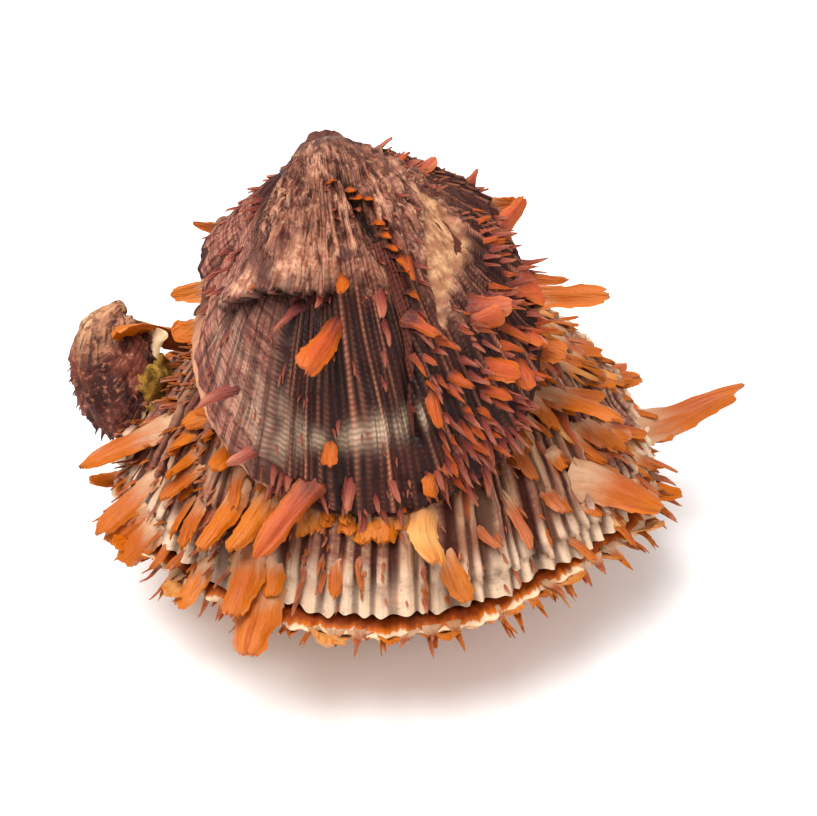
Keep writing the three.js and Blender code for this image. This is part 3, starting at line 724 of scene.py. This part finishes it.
# Every colour is made a little deeper and warmer, and light spreads this far under a shell's skin, in metres
DEEPEN = 1.1
SHELL_TONE = (0.98, 0.74, 0.52)
SCATTER_SCALE = 0.0012
SCATTER_RADIUS = (1.0, 0.45, 0.2)


def linear(code):
    """A colour written as six hexadecimal digits, as the shader wants it, in the shells' warm tone."""
    parts = [int(code[i : i + 2], 16) / 255 for i in (0, 2, 4)]
    parts = [p / 12.92 if p <= 0.04045 else ((p + 0.055) / 1.055) ** 2.4 for p in parts]
    return tuple(tone * p**DEEPEN for tone, p in zip(SHELL_TONE, parts)) + (1.0,)


class Paint:
    """The nodes of one material."""

    def __init__(self, name, roughness, specular, scatter=0.0):
        self.material = bpy.data.materials.new(name)
        self.material.use_nodes = True
        self.nodes = self.material.node_tree.nodes
        self.links = self.material.node_tree.links
        self.shader = self.nodes["Principled BSDF"]
        self.shader.inputs["Roughness"].default_value = roughness
        self.shader.inputs["Specular IOR Level"].default_value = specular
        if scatter:
            self.shader.inputs["Subsurface Weight"].default_value = scatter
            self.shader.inputs["Subsurface Radius"].default_value = SCATTER_RADIUS
            self.shader.inputs["Subsurface Scale"].default_value = SCATTER_SCALE

    def put(self, socket, value):
        if hasattr(value, "links"):
            self.links.new(value, socket)
        else:
            socket.default_value = value

    def value(self, key):
        node = self.nodes.new("ShaderNodeAttribute")
        node.attribute_name = key
        return node.outputs["Fac"]

    def math(self, operation, a, b=0.0, c=None):
        node = self.nodes.new("ShaderNodeMath")
        node.operation = operation
        self.put(node.inputs[0], a)
        self.put(node.inputs[1], b)
        if c is not None:
            self.put(node.inputs[2], c)
        return node.outputs[0]

    def between(self, value, low, high, start=0.0, end=1.0):
        node = self.nodes.new("ShaderNodeMapRange")
        node.interpolation_type = "SMOOTHSTEP"
        self.put(node.inputs["Value"], value)
        for key, number in (("From Min", low), ("From Max", high), ("To Min", start), ("To Max", end)):
            node.inputs[key].default_value = number
        return node.outputs["Result"]

    def times(self, a, b):
        return self.math("MULTIPLY", a, b)

    def wave(self, value):
        """0 to 1 and back once for each whole number."""
        return self.math("MULTIPLY_ADD", self.math("COSINE", self.times(value, 2 * math.pi)), 0.5, 0.5)

    def spot(self, x, y, z=0.0):
        node = self.nodes.new("ShaderNodeCombineXYZ")
        for key, part in zip("XYZ", (x, y, z)):
            self.put(node.inputs[key], part)
        return node.outputs[0]

    def place(self):
        return self.nodes.new("ShaderNodeTexCoord").outputs["Object"]

    def noise(self, vector, scale, detail=3.0, roughness=0.55):
        node = self.nodes.new("ShaderNodeTexNoise")
        self.put(node.inputs["Vector"], vector)
        node.inputs["Scale"].default_value = scale
        node.inputs["Detail"].default_value = detail
        node.inputs["Roughness"].default_value = roughness
        return node.outputs["Fac"]

    def grain(self, scale, detail, roughness=0.55):
        return self.noise(self.place(), scale, detail, roughness)

    def strands(self, over_ribs, along_growth, shift=0.0, detail=3):
        """Noise drawn out along the ribs or along the growth lines."""
        fan = self.times(self.value("fan"), over_ribs)
        grow = self.times(self.value("grow"), along_growth)
        return self.noise(self.spot(fan, grow, shift), 1.0, detail)

    def mix(self, a, b, share):
        node = self.nodes.new("ShaderNodeMix")
        node.data_type = "RGBA"
        self.put(node.inputs[0], share)
        self.put(node.inputs[6], linear(a) if isinstance(a, str) else a)
        self.put(node.inputs[7], linear(b) if isinstance(b, str) else b)
        return node.outputs[2]

    def bump(self, height, distance, strength=1.0, below=None):
        node = self.nodes.new("ShaderNodeBump")
        node.inputs["Strength"].default_value = strength
        node.inputs["Distance"].default_value = distance * MM
        self.put(node.inputs["Height"], height)
        if below is not None:
            self.put(node.inputs["Normal"], below)
        return node.outputs["Normal"]

    def finish(self, colour, normal):
        self.put(self.shader.inputs["Base Color"], colour)
        self.put(self.shader.inputs["Normal"], normal)
        return self.material


def host_upper_material():
    p = Paint("host_shell", 0.65, 0.18, scatter=0.12)
    crest, grow = map(p.value, ("crest", "grow"))
    lines = p.strands(1.6, 130, detail=2)
    streak = p.strands(0.55, 4.0)
    blush = p.strands(0.7, 9, 4.0, detail=2)
    blotch = p.grain(55, 4)
    speck = p.grain(900, 3)
    fine = p.strands(3.0, 7, 8.0)
    colour = p.mix("c2ae9e", "98776c", p.between(blotch, 0.38, 0.62))
    colour = p.mix(colour, "8c6258", p.between(fine, 0.5, 0.38, 0.0, 0.8))
    brown = p.times(p.between(streak, 0.40, 0.56), p.between(lines, 0.35, 0.6, 0.35, 1.0))
    colour = p.mix(colour, "7c5256", p.times(brown, 0.85))
    # Painted shade in the hollows between the ribs, over the shell's own purple-brown there
    valley_shade_and_colour = p.times(p.between(crest, 0.8, 0.15), p.between(streak, 0.3, 0.5, 0.6, 1.0))
    colour = p.mix(colour, "4a2418", valley_shade_and_colour)
    colour = p.mix(colour, "c4683c", p.between(blush, 0.6, 0.72, 0.0, 0.6))
    colour = p.mix(colour, "e6e0dc", p.times(p.value("pale"), p.between(crest, 0.0, 0.6, 0.3, 0.9)))
    colour = p.mix(colour, "4a2c26", p.between(speck, 0.6, 0.75, 0.0, 0.4))
    inner = p.mix("8a3d0c", "e8d8c0", p.between(grow, 0.985, 1.0))
    colour = p.mix(colour, inner, p.value("inside"))
    normal = p.bump(fine, 0.5)
    normal = p.bump(lines, 0.3, 1.0, normal)
    normal = p.bump(p.grain(700, 4), 0.3, 1.0, normal)
    return p.finish(colour, normal)


def host_lower_material():
    p = Paint("host_lower_shell", 0.6, 0.2, scatter=0.15)
    crest, fan, grow = map(p.value, ("crest", "fan", "grow"))
    blotch = p.grain(60, 4)
    colour = p.mix("cbb69c", "a9744f", p.between(blotch, 0.45, 0.65))
    colour = p.mix(colour, "ece2d2", p.times(p.value("pale"), 0.8))
    colour = p.mix(colour, "7a4f42", p.between(crest, 0.5, 0.0, 0.0, 0.5))
    frill = p.strands(0.9, 6)
    orange = p.times(p.between(frill, 0.5, 0.6, 0.0, 0.8), p.between(grow, 0.45, 0.85, 0.1, 1.0))
    colour = p.mix(colour, "cf7a1e", orange)
    ragged = p.math("MULTIPLY_ADD", p.noise(p.spot(p.times(fan, 1.9), 0.0), 1.0, 2), 0.05, -0.025)
    place = p.math("ADD", grow, ragged)
    # Inside the gape: a pale lip, then an orange-brown band that is partly the shell's own colour and partly
    # painted shade, then near black further in, which is painted shade between the valves
    inner = p.mix("efe6dc", "c8761a", p.between(place, 0.996, 0.988))
    inner = p.mix(inner, "9a4d08", p.between(place, 0.988, 0.976))
    inner = p.mix(inner, "542105", p.between(place, 0.972, 0.955))
    colour = p.mix(colour, inner, p.value("inside"))
    normal = p.bump(p.grain(600, 4), 0.35)
    return p.finish(colour, normal)


def young_upper_material():
    p = Paint("young_shell", 0.5, 0.2)
    crest, fan, grow = map(p.value, ("crest", "fan", "grow"))
    worn, pale, dark, cream, scar, flank = map(p.value, ("wear", "pale", "dark", "cream", "scar", "flank"))
    group = p.strands(0.75, 1.6, detail=2)
    bead = p.math("MULTIPLY_ADD", p.wave(p.math("ADD", p.times(grow, 85), p.times(group, 5))), 0.45, 0.55)
    ribs = p.wave(p.times(fan, 3))
    beaded = p.times(p.math("POWER", ribs, 1.4), bead)
    stripe = p.strands(2.6, 2.0, 3.0, detail=2)
    blotch = p.grain(90, 4)
    light = p.times(beaded, p.between(stripe, 0.3, 0.7, 0.25, 1.0))
    light = p.times(light, p.between(group, 0.4, 0.58, 0.3, 1.0))
    colour = p.mix("200c0d", "3e1a1b", p.between(blotch, 0.35, 0.65))
    colour = p.mix(colour, "d59a88", p.times(light, p.between(crest, 0.1, 0.75, 0.15, 1.0)))
    lines = p.strands(0.4, 60)
    mauve = p.mix("85565a", "c79c98", p.between(lines, 0.35, 0.65))
    colour = p.mix(colour, mauve, p.times(flank, p.between(stripe, 0.36, 0.52, 0.3, 0.92)))
    colour = p.mix(colour, "d2cac6", p.times(pale, p.times(p.between(stripe, 0.38, 0.5, 0.2, 0.95), bead)))
    grain = p.grain(420, 5, 0.65)
    bare = p.mix("6e4642", "ab8076", p.between(grain, 0.38, 0.6))
    bare = p.mix(bare, "482827", p.times(p.between(ribs, 0.5, 0.1), p.between(stripe, 0.4, 0.6, 0.2, 0.9)))
    bare = p.mix(bare, "d3b8a4", p.between(p.grain(520, 4), 0.58, 0.68, 0.0, 0.8))
    bare = p.mix(bare, "54302e", p.between(p.grain(330, 4), 0.5, 0.62, 0.0, 0.9))
    colour = p.mix(colour, bare, p.times(worn, 0.85))
    colour = p.mix(colour, p.mix("e0bcb0", "a87a70", p.between(grain, 0.42, 0.6)), cream)
    colour = p.mix(colour, p.mix("dcc0a6", "aa8470", p.between(grain, 0.36, 0.6)), p.times(scar, 0.88))
    # Near black where dark is: painted shade in the groove, under the ledge and in the pits, and the tear's
    # dark line
    colour = p.mix(colour, "1a0d0f", p.times(dark, 0.88))
    colour = p.mix(colour, "6f4442", p.value("inside"))
    shown = p.times(p.math("MULTIPLY_ADD", worn, -0.5, 1.0), p.math("SUBTRACT", 1.0, scar))
    normal = p.bump(p.times(beaded, shown), 0.5)
    normal = p.bump(p.grain(800, 4), 0.3, 1.0, normal)
    return p.finish(colour, normal)


def young_lower_material():
    p = Paint("young_lower_shell", 0.6, 0.2)
    blotch = p.grain(80, 4)
    streak = p.strands(0.7, 4.0)
    lines = p.strands(0.5, 70)
    colour = p.mix("6e4a48", "a98a80", p.between(blotch, 0.4, 0.65))
    brown = p.times(p.between(streak, 0.58, 0.4), p.between(lines, 0.35, 0.6, 0.3, 1.0))
    colour = p.mix(colour, "452425", brown)
    colour = p.mix(colour, "351c1c", p.between(p.value("crest"), 0.5, 0.0, 0.0, 0.6))
    colour = p.mix(colour, "cbb0a4", p.times(p.value("pale"), 0.9))
    inner = p.mix("4a2a2a", "c9a393", p.value("pale"))
    colour = p.mix(colour, inner, p.value("inside"))
    return p.finish(colour, p.bump(p.grain(600, 4), 0.3, 1.0, p.bump(lines, 0.4)))


def spine_material(name, base, middle, edge, tip, pink, pink_tip):
    """Blades that run from the shell's own colour at the root to orange, deeper along the edges."""
    p = Paint(name, 0.45, 0.28, scatter=0.2)
    along, across, tint, seed = map(p.value, ("along", "across", "tint", "fan"))
    ridge = p.noise(p.spot(p.times(across, 3.6), p.times(along, 2.0), seed), 1.0, 4)
    blotch = p.grain(160, 4)
    side = p.math("POWER", p.math("ABSOLUTE", across), 2.2)
    colour = p.mix(middle, edge, p.math("MAXIMUM", side, p.between(tint, 0.6, 0.85)))
    yellow = p.times(p.between(tint, 0.82, 1.0, 0.0, 0.95), p.between(along, 0.2, 0.65, 0.15, 1.0))
    colour = p.mix(colour, tip, yellow)
    colour = p.mix(colour, edge, p.times(p.between(along, 0.6, 1.0), p.between(ridge, 0.4, 0.6, 0.3, 0.9)))
    reds = p.mix(pink, pink_tip, p.times(p.between(along, 0.4, 1.0), p.between(ridge, 0.35, 0.65, 0.4, 1.0)))
    colour = p.mix(colour, reds, p.between(tint, 0.5, 0.3))
    colour = p.mix(colour, "9a4312", p.between(ridge, 0.46, 0.34, 0.0, 0.4))
    fade = p.math("ADD", along, p.math("MULTIPLY_ADD", ridge, 0.5, -0.25))
    colour = p.mix(colour, base, p.times(p.between(fade, 0.55, 0.08), p.between(blotch, 0.3, 0.6, 0.6, 1.0)))
    normal = p.bump(ridge, 0.6)
    normal = p.bump(p.grain(900, 3), 0.15, 1.0, normal)
    return p.finish(colour, normal)


def juvenile_material():
    p = Paint("juvenile_shell", 0.7, 0.3)
    grain = p.grain(380, 5, 0.65)
    blotch = p.grain(120, 4)
    streak = p.strands(0.9, 3)
    lines = p.strands(0.8, 34)
    colour = p.mix("43201b", "7a453c", p.between(blotch, 0.38, 0.62))
    colour = p.mix(colour, "b98672", p.between(lines, 0.56, 0.66, 0.0, 0.6))
    worn = p.times(p.value("pale"), p.between(grain, 0.36, 0.56))
    colour = p.mix(colour, p.mix("b08a78", "d8bda4", p.between(blotch, 0.4, 0.6)), worn)
    colour = p.mix(colour, "c09080", p.between(grain, 0.56, 0.68, 0.0, 0.8))
    colour = p.mix(colour, "2a1613", p.between(streak, 0.45, 0.36, 0.0, 0.7))
    return p.finish(colour, p.bump(grain, 0.6, 1.0, p.bump(lines, 0.6)))


def juvenile_lower_material():
    p = Paint("juvenile_lower_shell", 0.7, 0.25)
    grain = p.grain(300, 5, 0.65)
    colour = p.mix("b3a28a", "ddd2bf", p.between(grain, 0.35, 0.65))
    colour = p.mix(colour, "5e3a33", p.value("dark"))
    colour = p.mix(colour, p.mix("cfc3ae", "ece5d6", p.between(grain, 0.35, 0.65)), p.value("inside"))
    return p.finish(colour, p.bump(grain, 0.3))


def sponge_material():
    p = Paint("dried_sponge", 0.85, 0.2)
    grain = p.grain(420, 5, 0.65)
    return p.finish(p.mix("6b5a28", "b89c50", p.between(grain, 0.35, 0.65)), p.bump(grain, 0.9))


def juvenile_relief(angle, reach):
    x, y = flat_map(angle, reach, JUVENILE_FLAT)
    number = rib_number(angle, reach, JUVENILE_RIBS, 1.0, 4.4)
    crest = crest_of(number)
    height = 0.5 * crest * smooth(0.2, 1, reach)
    height = height + 0.6 * noise.rough(x / 1.8, y / 1.8, 4) + 0.7 * noise(x / 5, y / 5, 2)
    height = height + growth_steps(angle, reach, (0.9, 0.75, 0.6), crest, 0.5, 0.04, 2.0)
    degrees = np.degrees(angle)
    pale = np.clip(smooth(0.6, 0.35, reach) + smooth(-50, -110, degrees), 0, 1)
    teeth = 0.9 * noise(angle * 9, 3.0) + 0.9 * noise(angle * 22, 6.0)
    return height, smooth(0.9, 1, reach) * teeth, number, {"crest": crest, "pale": pale}


def juvenile_lower_relief(angle, reach):
    x, y = flat_map(angle, reach, JUVENILE_FLAT)
    height = 0.4 * noise.rough(x / 2.5, y / 2.5, 4)
    edge = smooth(0.9, 0.98, reach + 0.03 * noise(angle * 6, 2.0))
    return height, 0.5 * edge * noise(angle * 12, 3.0), angle, {"crest": np.ones_like(angle), "dark": edge}


def crust(piece, centre, size, seed):
    """A lump of dried sponge."""
    turn, rise = np.meshgrid(np.linspace(-np.pi, np.pi, 41), np.linspace(-np.pi / 2, np.pi / 2, 25))
    ball = np.stack([np.cos(rise) * np.cos(turn), np.cos(rise) * np.sin(turn), np.sin(rise)], -1)
    swell = 1 + 0.30 * noise.rough(ball[..., 0] * 2 + seed, ball[..., 1] * 2, ball[..., 2] * 2)
    swell = swell + 0.12 * noise(ball[..., 0] * 9 + seed, ball[..., 1] * 9, ball[..., 2] * 9)
    piece.grid(np.array(centre) + ball * np.array(size) * swell[..., None])


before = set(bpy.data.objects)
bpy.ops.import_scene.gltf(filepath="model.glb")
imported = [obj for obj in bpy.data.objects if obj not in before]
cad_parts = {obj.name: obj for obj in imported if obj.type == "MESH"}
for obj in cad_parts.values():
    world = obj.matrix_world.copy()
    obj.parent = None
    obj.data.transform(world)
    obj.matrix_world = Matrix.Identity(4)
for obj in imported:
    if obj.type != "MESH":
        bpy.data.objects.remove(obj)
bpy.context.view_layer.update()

# The blades' two materials: root, middle, edge, tip, pink middle and pink tip
ORANGE = spine_material("orange_spines", "c8b4a4", "b26628", "c87c04", "e6c690", "a86248", "d8a28c")
RED = spine_material("young_spines", "52282a", "be6036", "c47208", "d69838", "904a48", "d09484")

# The host
lower = valve_surface(
    "host_lower_surface", host_lower, 700, reach_rows(64, 0.12), host_lower_relief, thickness=2.2, lip=0.12
)
lower.build(host_lower_material(), "host_lower_shell", ["host_lower_valve"])
lower_spines = Piece("host_lower_spines")
spines(lower_spines, host_lower, HOST_LOWER_SPINES, seed=300)
scatter(lower_spines, host_lower, HOST_LOWER_SCALES, HOST_LOWER_RIBS, seed=41)
lower_spines.build(ORANGE, "host_lower_shell")

upper = valve_surface("host_upper_surface", host_upper, 880, reach_rows(80), host_upper_relief, thickness=1.6)
upper.build(host_upper_material(), "host_upper_shell", ["host_upper_valve"])
upper_spines = Piece("host_upper_spines")
spines(upper_spines, host_upper, HOST_UPPER_SPINES, seed=100)
scatter(upper_spines, host_upper, HOST_SCALES, HOST_RIBS, seed=42)
upper_spines.build(ORANGE, "host_upper_shell")

# The young oyster
under = valve_surface(
    "young_lower_surface", young_lower, 400, reach_rows(50, 0.12), young_lower_relief, thickness=1.5, lip=0.1
)
under.build(young_lower_material(), "young_lower_shell", ["young_lower_valve"])
under_spines = Piece("young_lower_spines")
spines(under_spines, young_lower, YOUNG_LOWER_SPINES, seed=400)
under_spines.build(ORANGE, "young_lower_shell")

young = valve_surface(
    "young_upper_surface", young_upper, 660, reach_rows(104, 0.1), young_upper_relief, thickness=1.0
)
young.build(young_upper_material(), "young_upper_shell", ["young_upper_valve"])
young_spines = Piece("young_upper_spines")
spines(young_spines, young_upper, YOUNG_UPPER_SPINES, seed=200)
spines(young_spines, young_upper, [(*spot, *KNOB_SHAPE) for spot in KNOBS], seed=250)
scatter(young_spines, young_upper, YOUNG_SCALES, YOUNG_RIBS * 3, seed=43, clear=BARE_SCAR)
young_spines.build(RED, "young_upper_shell")

# The juvenile and the sponge
small = valve_surface(
    "juvenile_upper_surface", juvenile_upper, 200, reach_rows(60), juvenile_relief, thickness=0.8
)
scatter(small, juvenile_upper, JUVENILE_SCALES, JUVENILE_RIBS, seed=44)
small.build(juvenile_material(), "juvenile_upper_shell", ["juvenile_upper_valve"])
small_lower = valve_surface(
    "juvenile_lower_surface", juvenile_lower, 160, reach_rows(30), juvenile_lower_relief, 0.5, lip=0.05
)
small_lower.build(juvenile_lower_material(), "juvenile_lower_shell", ["juvenile_lower_valve"])
sponge = Piece("sponge_lumps")
crust(sponge, centre=(-57, 14, 36.0), size=(4.4, 5.6, 6.4), seed=1.0)
crust(sponge, centre=(-56, 10.5, 33), size=(3.2, 3.6, 3.6), seed=4.0)
sponge.build(sponge_material(), "dried_sponge", ["sponge_crust"])

# The floor and the light
FLOOR_HALF = 3
FLOOR_GREY = 0.97
LAMP_TARGET = Vector((0, 0, 0.04))
floor_mesh = bpy.data.meshes.new("floor")
floor_corners = [(x * FLOOR_HALF, y * FLOOR_HALF, 0) for x, y in ((-1, -1), (1, -1), (1, 1), (-1, 1))]
floor_mesh.from_pydata(floor_corners, [], [(0, 1, 2, 3)])
floor = bpy.data.objects.new("floor", floor_mesh)
bpy.context.scene.collection.objects.link(floor)
floor_paint = Paint("floor", 0.9, 0.1)
floor_paint.shader.inputs["Base Color"].default_value = (FLOOR_GREY, FLOOR_GREY, FLOOR_GREY, 1.0)
floor_mesh.materials.append(floor_paint.material)

world = bpy.data.worlds.new("studio")
world.use_nodes = True
world.node_tree.nodes["Background"].inputs["Color"].default_value = (1.0, 1.0, 1.0, 1.0)
world.node_tree.nodes["Background"].inputs["Strength"].default_value = 0.55
bpy.context.scene.world = world


def aimed(name, data, place, target):
    made = bpy.data.objects.new(name, data)
    made.location = place
    made.rotation_mode = "QUATERNION"
    made.rotation_quaternion = (target - made.location).to_track_quat("-Z", "Y")
    bpy.context.scene.collection.objects.link(made)
    return made


def softbox(name, place, energy, size):
    lamp = bpy.data.lights.new(name, "AREA")
    lamp.energy, lamp.size = energy, size
    aimed(name, lamp, place, LAMP_TARGET)


softbox("key", place=(-0.22, -0.02, 0.75), energy=8.5, size=0.6)
softbox("fill", place=(0.6, -0.5, 0.45), energy=1.9, size=0.6)

# The camera, at the photograph's viewing angle
CAMERA_ELEVATION = 40.0
CAMERA_DISTANCE = 0.400
CAMERA_TARGET = Vector(metres((0, 0, 40)))
CAMERA_LENS = 81.98
elevation = math.radians(CAMERA_ELEVATION)
camera_data = bpy.data.cameras.new("camera")
camera_data.sensor_width = 36
camera_data.lens = CAMERA_LENS
camera_data.clip_start, camera_data.clip_end = 0.02, 20
camera_place = CAMERA_TARGET + CAMERA_DISTANCE * Vector((0, -math.cos(elevation), math.sin(elevation)))
bpy.context.scene.camera = aimed("camera", camera_data, camera_place, CAMERA_TARGET)
bpy.context.scene.view_settings.view_transform = "Standard"
